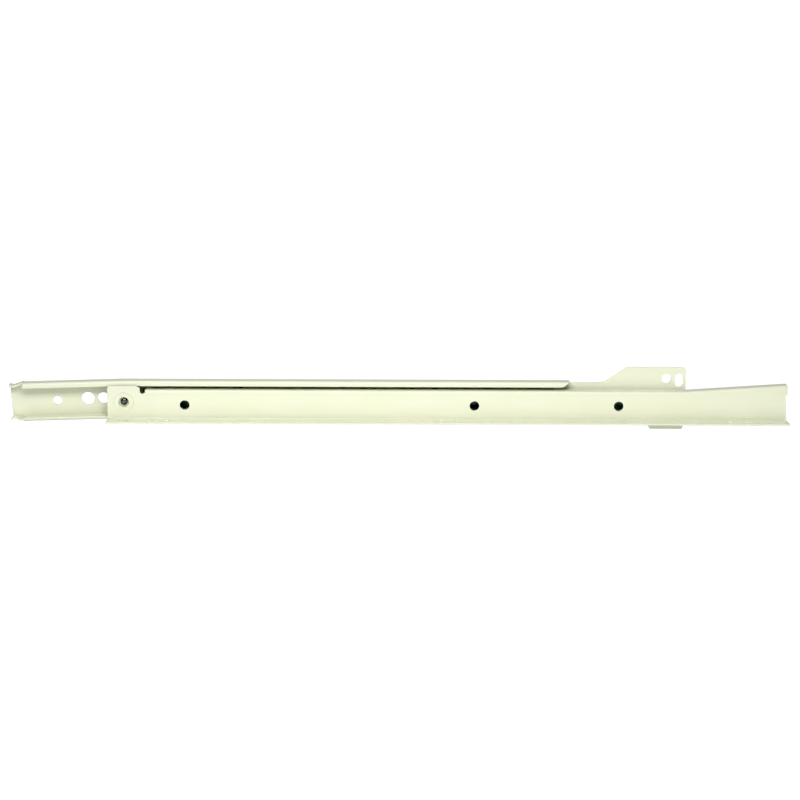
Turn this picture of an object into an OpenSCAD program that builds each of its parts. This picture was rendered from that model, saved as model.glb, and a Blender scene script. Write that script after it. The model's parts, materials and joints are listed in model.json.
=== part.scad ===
// Right-hand roller slide for a cabinet drawer: a channel rail that is screwed to the cabinet wall
// and a rail that carries the bottom edge of the drawer, each with one ball-bearing nylon roller.
// X runs from the back of the cabinet to its front and Z is up. The cabinet wall is the plane
// Y = 0, and the slide is on its -Y side. The origin is the front screw hole of the cabinet rail,
// at the wall. The drawer rail is drawn part way out.

/* [Slide] */
// Length of each rail
rail_length = 450; // [320:10:600]
// Width of the slide, from the cabinet wall to the side of the drawer
slide_width = 12.5; // [12:0.1:16]
// Thickness of the sheet steel
sheet = 1.2; // [0.8:0.1:1.5]
// Inside radius of the folds
fold_r = 0.6; // [0.3:0.1:0.9]
// How far the drawer is pulled out
pulled_out = 65; // [0:1:140]
// Length of the drawer rail that stays inside at full travel
kept_in = 110; // [100:5:160]

/* [Cabinet rail] */
// Height of the fold that hangs from the channel's roof
roof_lip = 3.5; // [2.8:0.1:4.5]
// Height of the fold that stands on the channel's floor
floor_lip = 2.4; // [2.3:0.1:3]
// Gap beside the rails, between the channel's folds and the drawer rail's web
side_gap = 1; // [0.5:0.1:1.5]
// Room above the rear roller in the channel
roller_play = 2.45; // [1.5:0.05:3.5]
// Where the self-closing ramp starts, from the rear end
ramp_start = 75; // [68:1:110]
// How far the ramp drops at the rear roller of a closed drawer
ramp_drop = 2; // [0.5:0.1:2.2]
// Length of the rear end that has no side folds
bare_end = 9.3; // [9:0.1:14]
// Length of the front end that has no roof
open_front = 80; // [70:1:100]
// Length of the raised tab at the front
tab_length = 40; // [30:0.5:50]
// Height of the tab above the channel's roof
tab_rise = 8.9; // [7:0.1:14]
// Depth of the front roller's pocket below the channel's floor
pocket_depth = 5.7; // [5:0.1:8]

/* [Drawer rail] */
// Width of the shelf that the drawer's bottom edge stands on
shelf_width = 12.5; // [10:0.5:20]
// Height of the gap between the channel's roof fold and the drawer rail
lip_gap = 2.2; // [1.7:0.1:3]
// Depth of the fold at the inner edge of the drawer rail's running flange
hook_lip = 4; // [3:0.1:5]
// Length of the front ramp of the running flange
nose_length = 66; // [40:1:90]
// Rise of the front ramp at the front end
nose_rise = 4.3; // [2:0.1:6]

/* [Rollers] */
// Diameter of the nylon tyres
roller_d = 20.5; // [19:0.1:25]
// Distance from the front roller's axle to the front end of the cabinet rail
front_setback = 14; // [13:0.5:20]
// Gap between a tyre and the flange that it runs on, with no load
running_gap = 0.25; // [0.2:0.05:0.4]
// Gap beside a roller, at each of its ends
end_gap = 0.25; // [0.2:0.05:0.4]
// Diameter of the bearing balls
ball_d = 2.4; // [2:0.1:2.8]
// Number of balls in a roller
ball_count = 11; // [8:1:11]
// Diameter of the rivet that a roller turns on
rivet_d = 4; // [3:0.1:4.4]

/* [Screw holes] */
// Diameter of the screw hole in the front tab
tab_hole_d = 6.2; // [4:0.1:7]
// Width of the slot in the front tab
slot_width = 5.4; // [4:0.1:6]
// Length of the slot in the front tab
slot_length = 9; // [7:0.1:11]
// Diameter of the holes in the web of the drawer rail
web_hole_d = 6.4; // [4:0.1:8]
// Diameter of the holes in the shelf
shelf_hole_d = 5; // [3:0.1:6]
// Diameter of the hidden screw hole in the cabinet rail
wall_hole_d = 5; // [3:0.1:6]

/* [Hidden] */
$fn = 64;
CREAM = [0.95, 0.96, 0.86];
NYLON = [0.90, 0.90, 0.86];
STEEL = [0.70, 0.71, 0.72];
DARK_STEEL = [0.52, 0.53, 0.55];
// Length of the drilling bodies and of the blocks that trim the mitres
through = 100;
reach = 2 * rail_length;
// How far the two runs at a mitre pass through each other
mitre_lap = 0.5;

// Heights and depths. The channel's floor is at height 0 until frame_at_tab_hole() moves it.
fold_out = fold_r + sheet;
roller_r = roller_d / 2;
roof = roller_d + running_gap + roller_play;
channel_depth = slide_width - sheet - side_gap;
channel_mid = roof / 2;
roof_lip_edge = roof + sheet - roof_lip;
floor_lip_edge = floor_lip - sheet;

// The cabinet rail's self-closing ramp
axle_setback = roller_r + 0.55;
rear_axle_z = roller_r + running_gap;
ramp_angle = atan(ramp_drop / (ramp_start - axle_setback));
function ramp_z(x) = -(ramp_start - x) * tan(ramp_angle);

// The crimped rear end, as heights above the roof and the floor of the ramp
crimp_depth = 2;
crimp_width = channel_depth - 3;
roof_crimp = [[0, roof + sheet - 1.2], [2.7, roof + sheet - crimp_depth], [8.4, roof + sheet],
              [bare_end, roof + sheet]];
floor_crimp = [[0, 0.4], [2.4, crimp_depth], [6, 0], [bare_end, 0]];

// The drawer rail
web_top = roof_lip_edge - lip_gap;
shelf_drop = 0.35;
shelf_top = -shelf_drop;
tall_top = rear_axle_z + roller_r + 0.55;
tall_corner_r = 2;
shoulder_drop = 1.3;
shoulder_length = 2.6;
notch_r = 1.75;
notch_depth = 2.6;
notch_x = axle_setback + roller_r + 2.15;
hook_start = notch_x + notch_r;
hook_side_gap = 1.3;
hook_reach = sheet + hook_side_gap;
nose_start = rail_length - nose_length;
nose_angle = atan(nose_rise / nose_length);
// How far the running flange and the shelf reach past the web's front edge
ear_length = 1.3;
ear_height = 6.5;
web_lap = 2;

// The cabinet rail's front end
front_axle_x = rail_length - front_setback;
front_axle_z = web_top - sheet - running_gap - roller_r;
tab_top = roof + sheet + tab_rise;
tab_corner_r = 2.5;
open_x = rail_length - open_front;
open_slant = 6;
web_edge_rear = roof - fold_r;
web_edge_front = roof - 0.3;
sweep_angle = 33;
sweep_top_angle = 50;
sweep_foot_r = 10;
sweep_top_r = 9;
sweep_steps = 6;
tab_start = rail_length - tab_length;
pocket_flat = roller_d - 0.5;
pocket_rear_run = 4.3;
pocket_front_run = 1.9;
pocket_rear_x = front_axle_x - pocket_flat / 2 - pocket_rear_run;
pocket_line = [[pocket_rear_x, 0], [pocket_rear_x + pocket_rear_run, -pocket_depth],
               [front_axle_x + pocket_flat / 2, -pocket_depth],
               [front_axle_x + pocket_flat / 2 + pocket_front_run, 0], [rail_length, 0]];

// Screw holes, from the rear end of their own rail: distance, height and diameter
tab_hole = [rail_length - 13.2, tab_top - 7.8];
tab_slot = [rail_length - 4.6, tab_top - 8.8];
rear_holes = [[30.6, channel_mid - 0.9, 5.5], [50.9, channel_mid, 8.3], [61.2, channel_mid, 7.4]];
wall_hole = [191, channel_mid];
hole_pitch = 32;
end_margin = 14;
web_hole_z = web_top - 10;
web_holes = [for (n = [0, 6, 9]) if (51 + n * hole_pitch < rail_length - end_margin) 51 + n * hole_pitch];
shelf_hole_y = -slide_width - 0.54 * shelf_width;
shelf_pair_gap = 11.2;
shelf_pairs = [for (x = [34 : 6 * hole_pitch : rail_length - end_margin - shelf_pair_gap / 2]) x];
locating_hole_x = 12.5;
locating_hole_d = 3.2;

// Rollers, measured from the outer face of the web that carries them, along the axle
hook_end_gap = 0.2;
cup_floor = hook_reach + sheet + hook_end_gap;
cup_sheet = 1;
cup_in_r = 3.45;
cup_out_r = cup_in_r + cup_sheet;
dish_r = 6.4;
dish_depth = 0.3;
rivet_r = rivet_d / 2;
rivet_gap = 0.05;
rivet_head_r = 4.2;
rivet_head = 1.1;
rivet_tail_r = 2.3;
rivet_tail = 1.4;
head_gap = 0.3;
cone_end = slide_width - sheet - head_gap - rivet_head;
tyre_start = cup_floor + end_gap;
tyre_end = cone_end - end_gap;
tyre_mid = (tyre_start + tyre_end) / 2;
tyre_edge = 0.5;
ball_pitch_r = 4.8;
groove_r = ball_d / 2 + 0.06;
cone_r = ball_pitch_r - 0.5;
race_in_r = ball_pitch_r + 0.5;
race_out_r = 7;

// The stop that ends the drawer's travel, just ahead of the rear roller at full travel
travel = rail_length - kept_in;
stop_r = 2.3;
stop_gap = 0.3;
stop_x = axle_setback + travel + sqrt(pow(roller_r + stop_r + stop_gap, 2) - pow(rear_axle_z, 2));
stop_side_gap = 0.8;

// Points of an arc about [x, z], from angle a to angle b
function arc(x, z, r, a, b) =
    [for (i = [0 : sweep_steps]) let (t = a + (b - a) * i / sweep_steps) [x + r * cos(t), z + r * sin(t)]];

function unit(v) = v / norm(v);

// The underside of a sheet whose upper surface follows a line of points, with mitred corners
function underside(line) = [for (i = [0 : len(line) - 1])
    let (before = unit(line[max(i, 1)] - line[max(i, 1) - 1]),
         after = unit(line[min(i + 1, len(line) - 1)] - line[min(i, len(line) - 2)]),
         mitre = [before.y + after.y, -before.x - after.x])
    line[i] + sheet * mitre / (1 + before * after)];

function reversed(list) = [for (i = [len(list) - 1 : -1 : 0]) list[i]];

// Moves the origin from the channel's floor at the rear end to the front screw hole
module frame_at_tab_hole() translate([-tab_hole.x, 0, -tab_hole.y]) children();

// Places a piece on the drawer rail
module on_drawer() frame_at_tab_hole() translate([pulled_out, 0, 0]) children();

// Stands a roller's axis on the web of its rail
module on_front_axle() frame_at_tab_hole()
    translate([front_axle_x, 0, front_axle_z]) rotate([90, 0, 0]) children();
module on_rear_axle() on_drawer()
    translate([axle_setback, -slide_width, rear_axle_z]) rotate([-90, 0, 0]) children();

// Turns an outline in X and Z into a plate that is thick towards -Y from the plane y
module plate(y, thick) translate([0, y, 0]) rotate([90, 0, 0]) linear_extrude(thick) children();

// Runs a cross-section in Y and Z along X
module along(from, to) translate([from, 0, 0]) rotate([90, 0, 90]) linear_extrude(to - from) children();

// Tips what lies about [x, z] up towards the front
module tipped(x, z, angle) translate([x, 0, z]) rotate([0, -angle, 0]) translate([-x, 0, -z]) children();

// Everything ahead of, or behind, the mitre plane between a level run and a tipped one
module ahead(x, z, angle) translate([x, 0, z]) rotate([0, -angle / 2, 0])
    translate([-mitre_lap, -reach / 2, -reach / 2]) cube(reach);
module behind(x, z, angle) translate([x, 0, z]) rotate([0, -angle / 2, 0])
    translate([mitre_lap - reach, -reach / 2, -reach / 2]) cube(reach);

// A rectangle from corner a to corner b with rounded corners
module rounded(a, b, r) {
    translate([a.x + r, a.y]) square([b.x - a.x - 2 * r, b.y - a.y]);
    translate([a.x, a.y + r]) square([b.x - a.x, b.y - a.y - 2 * r]);
    for (x = [a.x + r, b.x - r], y = [a.y + r, b.y - r]) translate([x, y]) circle(r);
}

// A drilling along Y at a distance and a height
module drill(x, z, d) translate([x, through / 2, z]) rotate([90, 0, 0]) cylinder(h = through, d = d);

// ---- Cabinet rail ----

module channel_section() difference() {
    rounded([-channel_depth, -sheet], [0, roof + sheet], fold_out);
    rounded([-channel_depth + sheet, 0], [-sheet, roof], fold_r);
    translate([-channel_depth - sheet, floor_lip_edge])
        square([2 * sheet + fold_r, roof_lip_edge - floor_lip_edge]);
}

module level_channel() difference() {
    intersection() {
        along(ramp_start - 2 * sheet, pocket_rear_x) channel_section();
        ahead(ramp_start, 0, ramp_angle);
    }
    plate(sheet, slide_width + 2 * sheet)
        polygon([[open_x - open_slant / 2, roof_lip_edge], [open_x + open_slant / 2, roof + 2 * sheet],
                 [rail_length, roof + 2 * sheet], [rail_length, roof_lip_edge]]);
}

module ramp_channel() intersection() {
    tipped(ramp_start, 0, ramp_angle) along(bare_end, ramp_start + 2 * sheet) channel_section();
    behind(ramp_start, 0, ramp_angle);
}

module crimped_end() tipped(ramp_start, 0, ramp_angle) {
    plate(0, crimp_width) polygon(concat(roof_crimp, reversed(underside(roof_crimp))));
    plate(0, crimp_width) polygon(concat(floor_crimp, reversed(underside(floor_crimp))));
    plate(0, sheet) polygon(concat(roof_crimp, reversed(underside(floor_crimp))));
}

// The curved edge that climbs from the open front's web to the tab, from its foot to its top
function sweep() =
    let (foot_rise = sweep_foot_r * (1 - cos(sweep_angle)),
         top_run = sweep_top_r * (sin(sweep_top_angle) - sin(sweep_angle)),
         top_rise = sweep_top_r * (cos(sweep_angle) - cos(sweep_top_angle)),
         straight_rise = tab_top - web_edge_front - foot_rise - top_rise,
         foot_x = tab_start - top_run - straight_rise / tan(sweep_angle) - sweep_foot_r * sin(sweep_angle))
    concat(arc(foot_x, web_edge_front + sweep_foot_r, sweep_foot_r, -90, sweep_angle - 90),
           arc(tab_start - sweep_top_r * sin(sweep_top_angle),
               tab_top + sweep_top_r * cos(sweep_top_angle), sweep_top_r,
               sweep_angle - 90, sweep_top_angle - 90));

module front_web() plate(0, sheet) polygon(concat(
    [[open_x - open_slant / 2, channel_mid], [open_x - open_slant / 2, web_edge_rear]],
    sweep(),
    arc(rail_length - tab_corner_r, tab_top - tab_corner_r, tab_corner_r, 90, 0),
    reversed(underside(pocket_line)),
    [[pocket_rear_x, channel_mid]]));

module pocket() {
    plate(0, channel_depth) polygon(concat(pocket_line, reversed(underside(pocket_line))));
    plate(-channel_depth + sheet, sheet) polygon(concat(
        [for (p = pocket_line) p + [0, floor_lip_edge]], reversed(underside(pocket_line))));
}

// A rib pressed up out of the channel's floor, with its hollow open underneath
module stop_rib() translate([stop_x, -sheet - stop_side_gap, 0]) rotate([90, 0, 0])
    intersection() {
        cylinder(h = channel_depth - 2 * sheet - 2 * stop_side_gap, r = stop_r);
        translate([-stop_r, -sheet / 2, 0]) cube([2 * stop_r, 2 * stop_r, slide_width]);
    }
module stop_hollow() translate([stop_x, -sheet - stop_side_gap, 0]) rotate([90, 0, 0]) {
    cylinder(h = channel_depth - 2 * sheet - 2 * stop_side_gap, r = stop_r - sheet);
    translate([sheet - stop_r, -2 * sheet, 0])
        cube([2 * (stop_r - sheet), 2 * sheet, channel_depth - 2 * sheet - 2 * stop_side_gap]);
}

// The drawn cup that carries a roller, and the space inside it
module cup() cylinder(h = cup_floor, r = cup_out_r);
module cup_space() {
    translate([0, 0, -sheet]) cylinder(h = cup_floor - cup_sheet + sheet, r = cup_in_r);
    cylinder(h = through / 2, r = rivet_r + rivet_gap);
}

module slot() plate(through / 2, through) translate(tab_slot) {
    square([slot_width, slot_length - slot_width], center = true);
    for (side = [-1, 1]) translate([0, side * (slot_length - slot_width) / 2]) circle(d = slot_width);
}

module cabinet_rail() color(CREAM) difference() {
    union() {
        frame_at_tab_hole() {
            level_channel();
            ramp_channel();
            crimped_end();
            front_web();
            pocket();
            stop_rib();
        }
        on_front_axle() cup();
    }
    on_front_axle() cup_space();
    frame_at_tab_hole() {
        drill(tab_hole.x, tab_hole.y, tab_hole_d);
        slot();
        for (h = rear_holes) drill(h.x, h.y + ramp_z(h.x), h.z);
        drill(wall_hole.x, wall_hole.y, wall_hole_d);
        stop_hollow();
    }
}

// ---- Drawer rail ----

// The running flange over the front roller, with the web beside it and the fold at its edge
module hook_section() difference() {
    rounded([-slide_width, web_top - roof], [-hook_reach, web_top], fold_out);
    rounded([-slide_width + sheet, web_top - roof], [-hook_reach - sheet, web_top - sheet], fold_r);
    translate([-slide_width - sheet, web_top - roof - sheet]) square([slide_width, roof + sheet - hook_lip]);
}

// The shelf under the drawer, with the web beside it
module shelf_section() intersection() {
    difference() {
        rounded([-slide_width - 2 * shelf_width, shelf_top - sheet], [-slide_width + sheet, roof], fold_out);
        rounded([-slide_width - 2 * shelf_width, shelf_top], [-slide_width, roof], fold_r);
    }
    translate([-slide_width - shelf_width, shelf_top - sheet]) square([shelf_width + sheet, 2 * sheet + web_lap]);
}

module level_hook() intersection() {
    along(hook_start, nose_start + 2 * sheet) hook_section();
    behind(nose_start, web_top, nose_angle);
}

module nose_hook() intersection() {
    tipped(nose_start, web_top, nose_angle)
        along(nose_start - 2 * sheet, rail_length + 5 * sheet) hook_section();
    ahead(nose_start, web_top, nose_angle);
    translate([rail_length + ear_length - reach, -reach / 2, -reach / 2]) cube(reach);
}

module drawer_web() plate(-slide_width + sheet, sheet) polygon(concat(
    [[0, shelf_top + web_lap]],
    arc(tall_corner_r, tall_top - tall_corner_r, tall_corner_r, 180, 90),
    [[notch_x - notch_r - shoulder_length, tall_top], [notch_x - notch_r, tall_top - shoulder_drop],
     [hook_start, web_top - web_lap], [nose_start, web_top - web_lap],
     [rail_length + ear_length, web_top + nose_rise - web_lap],
     [rail_length + ear_length, web_top + nose_rise - ear_height],
     [rail_length, web_top + nose_rise - ear_height], [rail_length + ear_length, shelf_top + web_lap]]));

module notch() plate(0, through) translate([notch_x, web_top - notch_depth + notch_r]) {
    circle(notch_r);
    translate([-notch_r, 0]) square([2 * notch_r, tall_top - web_top + notch_depth]);
}

module shelf_drill(x, d) translate([x, shelf_hole_y, shelf_top - 2 * sheet]) cylinder(h = 4 * sheet, d = d);

module drawer_rail() color(CREAM) difference() {
    union() {
        on_drawer() {
            level_hook();
            nose_hook();
            drawer_web();
            along(0, rail_length + ear_length) shelf_section();
        }
        on_rear_axle() {
            cylinder(h = sheet + dish_depth, r = dish_r + dish_depth);
            cup();
        }
    }
    on_rear_axle() {
        cup_space();
        translate([0, 0, -sheet]) cylinder(h = sheet + dish_depth, r = dish_r);
    }
    on_drawer() {
        notch();
        for (x = web_holes) drill(x, web_hole_z, web_hole_d);
        shelf_drill(locating_hole_x, locating_hole_d);
        for (x = shelf_pairs, side = [-1, 1]) shelf_drill(x + side * shelf_pair_gap / 2, shelf_hole_d);
    }
}

// ---- Rollers ----

module tyre() color(NYLON) rotate_extrude() polygon([
    [race_out_r, tyre_start], [roller_r - tyre_edge, tyre_start], [roller_r, tyre_start + tyre_edge],
    [roller_r, tyre_end - tyre_edge], [roller_r - tyre_edge, tyre_end], [race_out_r, tyre_end]]);

module race() color(STEEL) rotate_extrude() difference() {
    translate([race_in_r, tyre_start]) square([race_out_r - race_in_r, tyre_end - tyre_start]);
    translate([ball_pitch_r, tyre_mid]) circle(groove_r);
}

module balls() color(STEEL) for (i = [0 : ball_count - 1])
    rotate([0, 0, i * 360 / ball_count]) translate([ball_pitch_r, 0, tyre_mid]) sphere(d = ball_d);

module cone() color(DARK_STEEL) rotate_extrude() difference() {
    translate([rivet_r + rivet_gap, cup_floor]) square([cone_r - rivet_r - rivet_gap, cone_end - cup_floor]);
    translate([ball_pitch_r, tyre_mid]) circle(groove_r);
}

// The head is inside the slide, and the tail is peened over a hollow end at the bottom of the cup
module rivet() color(STEEL) {
    tail_face = cup_floor - cup_sheet;
    translate([0, 0, tail_face]) cylinder(h = cone_end - tail_face, r = rivet_r);
    translate([0, 0, cone_end]) cylinder(h = rivet_head, r1 = rivet_head_r, r2 = rivet_head_r - 0.5);
    rotate_extrude() polygon([[0, tail_face], [rivet_tail_r, tail_face], [rivet_tail_r, tail_face - 0.6],
        [rivet_tail_r - 0.45, tail_face - 1.2], [rivet_r - 0.6, tail_face - rivet_tail],
        [rivet_r - 1, tail_face - 1], [0, tail_face - 0.7]]);
}

cabinet_rail();
drawer_rail();
on_front_axle() tyre();  // front_roller_tyre
on_front_axle() race();  // front_roller_race
on_front_axle() balls();  // front_roller_balls
on_front_axle() cone();  // front_roller_cone
on_front_axle() rivet();  // front_roller_rivet
on_rear_axle() tyre();  // rear_roller_tyre
on_rear_axle() race();  // rear_roller_race
on_rear_axle() balls();  // rear_roller_balls
on_rear_axle() cone();  // rear_roller_cone
on_rear_axle() rivet();  // rear_roller_rivet
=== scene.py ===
"""Looks of a cream-enamelled roller slide for a cabinet drawer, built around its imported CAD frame.

Lengths are in metres. The cabinet's wall is the plane y = 0, and the slide is looked at from the -Y side.
"""

import json
import math

import bpy
from mathutils import Matrix, Vector


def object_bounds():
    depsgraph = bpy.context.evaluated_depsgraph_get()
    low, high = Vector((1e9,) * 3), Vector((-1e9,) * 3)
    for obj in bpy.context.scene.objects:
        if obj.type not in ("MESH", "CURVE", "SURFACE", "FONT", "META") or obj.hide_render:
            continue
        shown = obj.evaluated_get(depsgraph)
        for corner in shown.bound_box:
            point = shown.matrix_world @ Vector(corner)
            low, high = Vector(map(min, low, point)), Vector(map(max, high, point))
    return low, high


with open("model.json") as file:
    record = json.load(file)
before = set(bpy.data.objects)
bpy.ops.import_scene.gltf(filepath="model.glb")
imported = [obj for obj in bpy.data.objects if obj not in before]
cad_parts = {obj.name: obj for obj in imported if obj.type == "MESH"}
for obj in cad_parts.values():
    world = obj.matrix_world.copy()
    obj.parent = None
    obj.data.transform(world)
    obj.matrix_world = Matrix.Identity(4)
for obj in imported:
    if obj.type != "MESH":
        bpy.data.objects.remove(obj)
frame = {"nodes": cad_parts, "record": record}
cad_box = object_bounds()
middle = (cad_box[0] + cad_box[1]) / 2
scene = bpy.context.scene


# ---- Node helpers ----

# How many rays a bevel or occlusion node casts at each point.
NODE_RAYS = 6


def srgb(r, g, b):
    """An 8-bit screen colour as the linear colour that shaders take."""
    shares = (r / 255, g / 255, b / 255)
    return tuple(c / 12.92 if c <= 0.04045 else ((c + 0.055) / 1.055) ** 2.4 for c in shares) + (1.0,)


class Shader:
    """A material with a Principled shader, and short calls that add nodes to it."""

    def __init__(self, name, **sockets):
        self.material = bpy.data.materials.new(name)
        self.material.use_nodes = True
        self.nodes = self.material.node_tree.nodes
        self.links = self.material.node_tree.links
        self.main = self.nodes["Principled BSDF"]
        self.set(**sockets)
        self.place = self.nodes.new("ShaderNodeTexCoord").outputs["Object"]

    def fill(self, socket, value):
        """Links a node's output to the socket, or sets the socket where the value is a constant."""
        if isinstance(value, bpy.types.NodeSocket):
            self.links.new(value, socket)
        else:
            socket.default_value = value

    def set(self, **sockets):
        """Fills the Principled shader's own sockets, whose spaces are written as underscores."""
        for socket, value in sockets.items():
            self.fill(self.main.inputs[socket.replace("_", " ")], value)

    def node(self, kind, inputs, **settings):
        """A new node, with its inputs filled and its settings set."""
        made = self.nodes.new("ShaderNode" + kind)
        for setting, value in settings.items():
            setattr(made, setting, value)
        for socket, value in inputs.items():
            self.fill(made.inputs[socket], value)
        return made

    def noise(self, size, detail=2.0, roughness=0.5, stretch=None):
        """A noise from 0 to 1, with features of about that size. A stretch scales its x, y and z."""
        vector = self.place
        if stretch:
            vector = self.node("Mapping", {"Vector": vector, "Scale": stretch}).outputs[0]
        inputs = {"Vector": vector, "Scale": 1 / size, "Detail": detail, "Roughness": roughness}
        return self.node("TexNoise", inputs).outputs[0]

    def between(self, value, low, high, to_low=0.0, to_high=1.0):
        """Maps value from low...high to to_low...to_high, and clamps it."""
        inputs = {"Value": value, "From Min": low, "From Max": high, "To Min": to_low, "To Max": to_high}
        return self.node("MapRange", inputs).outputs[0]

    def times(self, a, b):
        """The product of two values."""
        return self.node("Math", {0: a, 1: b}, operation="MULTIPLY").outputs[0]

    def mix(self, share, a, b):
        """Colour a where share is 0, colour b where it is 1, and a blend between."""
        made = self.node("Mix", {}, data_type="RGBA")
        colours = [socket for socket in made.inputs if socket.type == "RGBA"]
        for socket, value in zip((made.inputs[0], *colours), (share, a, b)):
            self.fill(socket, value)
        return next(socket for socket in made.outputs if socket.type == "RGBA")

    def rounded(self, radius):
        """The surface's normal, as if its edges were rounded to that radius."""
        return self.node("Bevel", {"Radius": radius}, samples=NODE_RAYS).outputs[0]

    def edge(self, radius):
        """1 on a sharp edge, where the rounded normal leans away from the true one, and 0 away from it."""
        true = self.node("NewGeometry", {}).outputs["True Normal"]
        inputs = {0: self.rounded(radius), 1: true}
        alike = self.node("VectorMath", inputs, operation="DOT_PRODUCT").outputs["Value"]
        return self.between(alike, 0.98, 0.8)

    def crease(self, radius):
        """1 deep in a corner or a hole of about that size, and 0 in the open; it masks the enamel's
        painted shade.
        """
        inputs = {"Distance": radius}
        occlusion = self.node("AmbientOcclusion", inputs, samples=NODE_RAYS, only_local=True)
        return self.between(occlusion.outputs["AO"], 0.1, 0.55, 1.0, 0.0)

    def bump(self, radius, *layers):
        """Bump layers of (height, depth), on edges that are rounded to that radius."""
        normal = self.rounded(radius)
        for height, depth in layers:
            inputs = {"Height": height, "Distance": depth, "Strength": 1.0, "Normal": normal}
            normal = self.node("Bump", inputs).outputs[0]
        self.set(Normal=normal)


# ---- Materials ----


def enamel():
    """Cream enamel baked on sheet steel: a soft gloss, faint orange peel, thinner at its edges, and
    painted shade in its creases and holes.
    """
    s = Shader("cream_enamel", IOR=1.5)
    cloud = s.between(s.noise(0.035, detail=3.0), 0.35, 0.65)
    colour = s.mix(cloud, srgb(221, 224, 197), srgb(224, 226, 201))
    streak = s.between(s.noise(0.0016, stretch=(0.06, 1, 1)), 0.3, 0.8, 0, 0.35)
    colour = s.mix(streak, colour, srgb(217, 221, 192))
    patchy = s.between(s.noise(0.004, detail=4.0, roughness=0.7), 0.42, 0.62)
    thin = s.times(s.times(s.edge(0.0002), patchy), 0.4)
    colour = s.mix(thin, colour, srgb(164, 171, 147))
    # Painted shade: the colour darkens to a shaded green deep in folds, corners and hole walls, where
    # shade falls.
    painted_crease_shade = s.times(s.crease(0.005), 0.75)
    colour = s.mix(painted_crease_shade, colour, srgb(96, 112, 92))
    speck = s.times(s.between(s.noise(0.0007, detail=1.0), 0.79, 0.83), 0.5)
    colour = s.mix(speck, colour, srgb(178, 180, 150))
    gloss = s.between(s.noise(0.006, detail=4.0), 0.3, 0.7, 0.3, 0.44)
    s.set(Base_Color=colour, Roughness=gloss)
    orange_peel = (s.noise(0.0011, detail=1.5), 0.000012)
    waves = (s.noise(0.012), 0.00006)
    s.bump(0.0003, orange_peel, waves)
    return s.material


def nylon():
    """Natural nylon, moulded and a little waxy."""
    s = Shader("white_nylon", IOR=1.53, Subsurface_Weight=0.25, Subsurface_Scale=0.002)
    cloud = s.between(s.noise(0.004, detail=3.0), 0.3, 0.7)
    colour = s.mix(cloud, srgb(222, 220, 206), srgb(232, 230, 219))
    gloss = s.between(s.noise(0.0015, detail=3.0), 0.3, 0.7, 0.38, 0.52)
    s.set(Base_Color=colour, Roughness=gloss)
    s.bump(0.0002, (s.noise(0.0006), 0.000008))
    return s.material


def steel(name, clean, oily, rough, grain, depth):
    """Bare steel with a film of oil, bright edges, and a grain of that size and depth."""
    s = Shader(name, Metallic=1.0)
    film = s.between(s.noise(0.002, detail=4.0), 0.35, 0.65)
    colour = s.mix(film, clean, oily)
    worn = s.times(s.edge(0.0002), 0.4)
    colour = s.mix(worn, colour, srgb(215, 217, 219))
    gloss = s.between(s.noise(grain, detail=3.0), 0.3, 0.7, *rough)
    s.set(Base_Color=colour, Roughness=gloss)
    s.bump(0.00015, (s.noise(grain, detail=3.0), depth))
    return s.material


MATERIALS = {
    "cream_enamel": enamel(),
    "white_nylon": nylon(),
    "bearing_steel": steel(
        "bearing_steel",
        clean=srgb(186, 188, 190),
        oily=srgb(160, 163, 166),
        rough=(0.14, 0.24),
        grain=0.0009,
        depth=0.000002,
    ),
    "plain_steel": steel(
        "plain_steel",
        clean=srgb(114, 118, 106),
        oily=srgb(76, 82, 72),
        rough=(0.22, 0.4),
        grain=0.0007,
        depth=0.00004,
    ),
}

for part in frame["record"]["subparts"]:
    piece = frame["nodes"][part["node"]]
    piece.data.materials.clear()
    piece.data.materials.append(MATERIALS[part["material_slot"]])


# ---- Floor and wall ----

STAGE_SIDES = 96
FLOOR_DROP = 0.18
FLOOR_RADII = (0.5, 2, 4.5)
# The wall stands a little inside the floor's rim, and its foot goes a little below the floor.
WALL_RADIUS = 4.4
WALL_HEIGHT = 3.5
WALL_FOOT = 0.01


def round_stage(name, outline, glow):
    """A round piece of the studio about the slide's middle, from its outline of (radius, height).

    An outline that runs outwards gets a disc in its middle. The piece glows faintly by itself.
    """
    count = len(outline)
    points = []
    for k in range(STAGE_SIDES):
        a = 2 * math.pi * k / STAGE_SIDES
        points += [(middle.x + r * math.cos(a), middle.y + r * math.sin(a), z) for r, z in outline]
    starts = [k * count for k in range(STAGE_SIDES)]
    faces = [
        (here + i, here + i + 1, there + i + 1, there + i)
        for here, there in zip(starts, starts[1:] + starts[:1])
        for i in range(count - 1)
    ]
    if outline[0][0] < outline[-1][0]:
        faces.append(starts)
    mesh = bpy.data.meshes.new(name)
    mesh.from_pydata(points, [], faces)
    for face in mesh.polygons:
        face.use_smooth = True
    s = Shader(name + "_white", Roughness=0.9, Emission_Color=(1, 1, 1, 1), Emission_Strength=glow)
    cloud = s.between(s.noise(0.3), 0.3, 0.7)
    s.set(Base_Color=s.mix(cloud, (0.89, 0.89, 0.89, 1), (0.91, 0.91, 0.91, 1)))
    mesh.materials.append(s.material)
    made = bpy.data.objects.new(name, mesh)
    scene.collection.objects.link(made)
    return made


# Neither piece shades the slide or throws light on it, but the floor shows in the gloss of its enamel.
level = cad_box[0].z - FLOOR_DROP
floor = round_stage("floor", [(r, level) for r in FLOOR_RADII], glow=0.65)
wall_outline = [(WALL_RADIUS, level + WALL_HEIGHT), (WALL_RADIUS, level - WALL_FOOT)]
wall = round_stage("wall", wall_outline, glow=1)
floor.visible_shadow = floor.visible_diffuse = False
wall.visible_shadow = wall.visible_diffuse = wall.visible_glossy = False


# ---- Light ----


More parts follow.
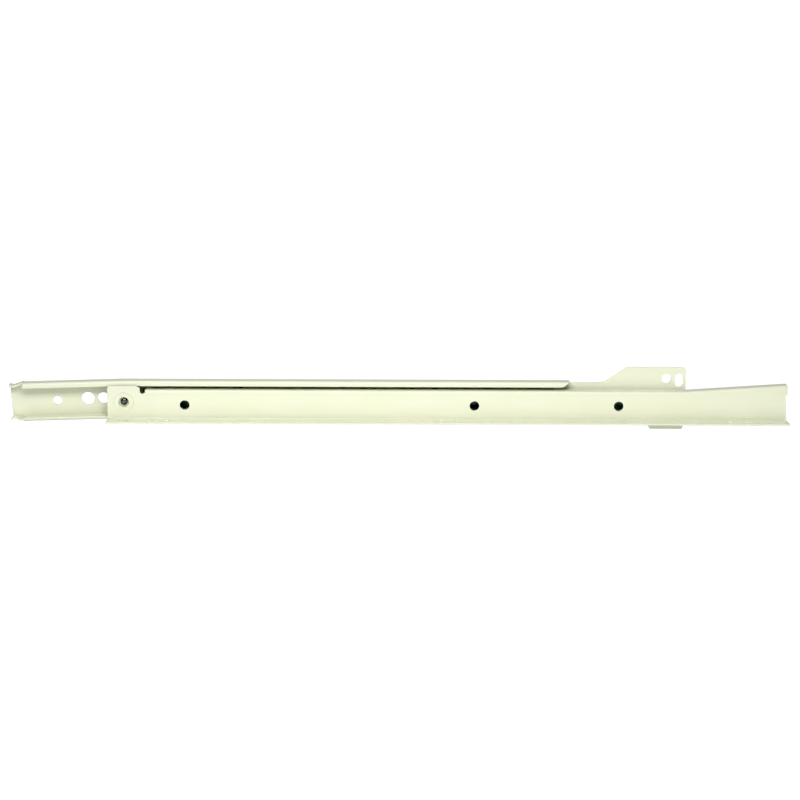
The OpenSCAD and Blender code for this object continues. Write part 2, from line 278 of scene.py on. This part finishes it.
def lamp(name, kind, offset, **settings):
    """A lamp at that offset from the slide's middle, turned towards it. The camera doesn't see it."""
    data = bpy.data.lights.new(name, kind)
    for setting, value in settings.items():
        setattr(data, setting, value)
    made = bpy.data.objects.new(name, data)
    offset = Vector(offset)
    turned = (-offset).to_track_quat("-Z", "Y").to_matrix()
    made.matrix_world = Matrix.Translation(middle + offset) @ turned.to_4x4()
    made.visible_camera = False
    scene.collection.objects.link(made)


# A soft box above the slide and a card below it light its front, and the top lamp is as broad as a sky.
# The back lamp lights the side that faces the wall, without a glint.
panel = {"shape": "RECTANGLE", "size": 0.5, "size_y": 0.2, "color": (1, 0.96, 1)}
lamp("box", "AREA", (-0.06, -0.52, 0.4), energy=3.25, **panel)
card = {"shape": "RECTANGLE", "size": 1.2, "size_y": 0.4, "color": (1, 1, 0.96)}
lamp("bounce", "AREA", (0, -0.5, -0.22), energy=1.75, **card)
lamp("top", "SUN", (0, -0.4, 1.5), energy=0.5, angle=math.radians(60))
lamp("back", "SUN", (0.3, 1.7, -0.6), energy=2.2, angle=math.radians(20), specular_factor=0)

world = bpy.data.worlds.new("studio")
world.use_nodes = True
background = world.node_tree.nodes["Background"].inputs
background["Color"].default_value = (0.92, 0.97, 1, 1)
background["Strength"].default_value = 0.36
scene.world = world

# The black level takes the last of the light out of the holes, which are near black in the photo.
view = scene.view_settings
view.view_transform = "Standard"
view.use_curve_mapping = True
view.curve_mapping.black_level = (0.062, 0.06, 0.036)
view.curve_mapping.update()


# ---- Camera ----


def camera():
    """The camera stands 1.3 m from the slide's middle, above it and a little towards its rear end."""
    lift = math.radians(11.226)
    turn = math.radians(-1.099)
    roll = math.radians(0.406)
    distance = 1.29575
    aim = middle + Vector((0.0009225, 0, -0.00061))
    back = Vector((math.sin(turn) * math.cos(lift), -math.cos(turn) * math.cos(lift), math.sin(lift)))
    right = (-back).cross(Vector((0, 0, 1))).normalized()
    up = right.cross(-back)
    level_right = right * math.cos(roll) + up * math.sin(roll)
    level_up = up * math.cos(roll) - right * math.sin(roll)
    data = bpy.data.cameras.new("camera")
    data.sensor_width = 36
    data.lens = 87.957
    data.clip_start = 0.01
    data.clip_end = 50
    made = bpy.data.objects.new("camera", data)
    turned = Matrix((level_right, level_up, back)).transposed()
    made.matrix_world = Matrix.Translation(aim + back * distance) @ turned.to_4x4()
    scene.collection.objects.link(made)
    scene.camera = made


camera()
